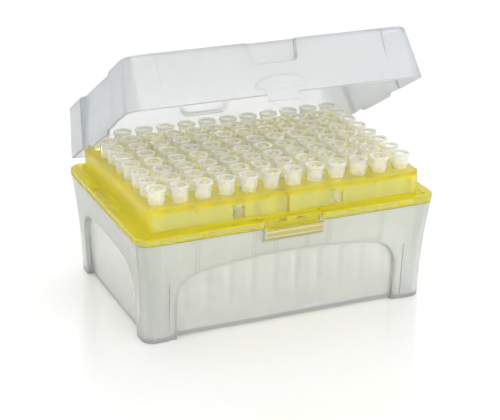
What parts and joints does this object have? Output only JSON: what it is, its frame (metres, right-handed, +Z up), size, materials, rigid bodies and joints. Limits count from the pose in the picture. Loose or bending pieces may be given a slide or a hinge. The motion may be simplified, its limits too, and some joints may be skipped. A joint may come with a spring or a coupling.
{
  "type": "box of pipette tips",
  "caption": "Hinged plastic laboratory box, lid part open, with a coloured rack that holds a grid of hollow tapered pipette tips.",
  "frame": {"origin": "on the surface the box stands on, under the middle of the box as it stands with its lid part open", "axes": "+X along the rows of twelve tips, -Y towards the latch and +Y towards the hinge, +Z up"},
  "size_m": [0.1208, 0.0946, 0.1042],
  "materials": {
    "tub_plastic": "milky translucent polypropylene, satin",
    "rack_plastic": "translucent yellow polypropylene, glossy",
    "lid_plastic": "cloudy clear polypropylene, satin",
    "tip_plastic": "clear polypropylene, smooth"
  },
  "bodies": {
    "box": {"tub": "tub_plastic", "tip_rack": "rack_plastic", "tip_e1": "tip_plastic", "tip_e2": "tip_plastic", "tip_e3": "tip_plastic", "tip_e4": "tip_plastic", "tip_e5": "tip_plastic", "tip_e6": "tip_plastic", "tip_e7": "tip_plastic", "tip_e8": "tip_plastic", "tip_e9": "tip_plastic", "tip_e10": "tip_plastic", "tip_e11": "tip_plastic", "tip_e12": "tip_plastic", "tip_f1": "tip_plastic", "tip_f2": "tip_plastic", "tip_f3": "tip_plastic", "tip_f4": "tip_plastic", "tip_f5": "tip_plastic", "tip_f6": "tip_plastic", "tip_f7": "tip_plastic", "tip_f8": "tip_plastic", "tip_f9": "tip_plastic", "tip_f10": "tip_plastic", "tip_f11": "tip_plastic", "tip_f12": "tip_plastic", "tip_g1": "tip_plastic", "tip_g2": "tip_plastic", "tip_g3": "tip_plastic", "tip_g4": "tip_plastic", "tip_g5": "tip_plastic", "tip_g6": "tip_plastic", "tip_g7": "tip_plastic", "tip_g8": "tip_plastic", "tip_g9": "tip_plastic", "tip_g10": "tip_plastic", "tip_g11": "tip_plastic", "tip_g12": "tip_plastic", "tip_h1": "tip_plastic", "tip_h2": "tip_plastic", "tip_h3": "tip_plastic", "tip_h4": "tip_plastic", "tip_h5": "tip_plastic", "tip_h6": "tip_plastic", "tip_h7": "tip_plastic", "tip_h8": "tip_plastic", "tip_h9": "tip_plastic", "tip_h10": "tip_plastic", "tip_h11": "tip_plastic", "tip_h12": "tip_plastic"},
    "lid": {"lid": "lid_plastic"}
  },
  "joints": [
    {"name": "lid_hinge", "type": "hinge", "parent": "box", "child": "lid", "pos_m": [0, 0.04221, 0.0447], "axis": [-1, 0, 0], "range_deg": [-30, 80]}
  ]
}
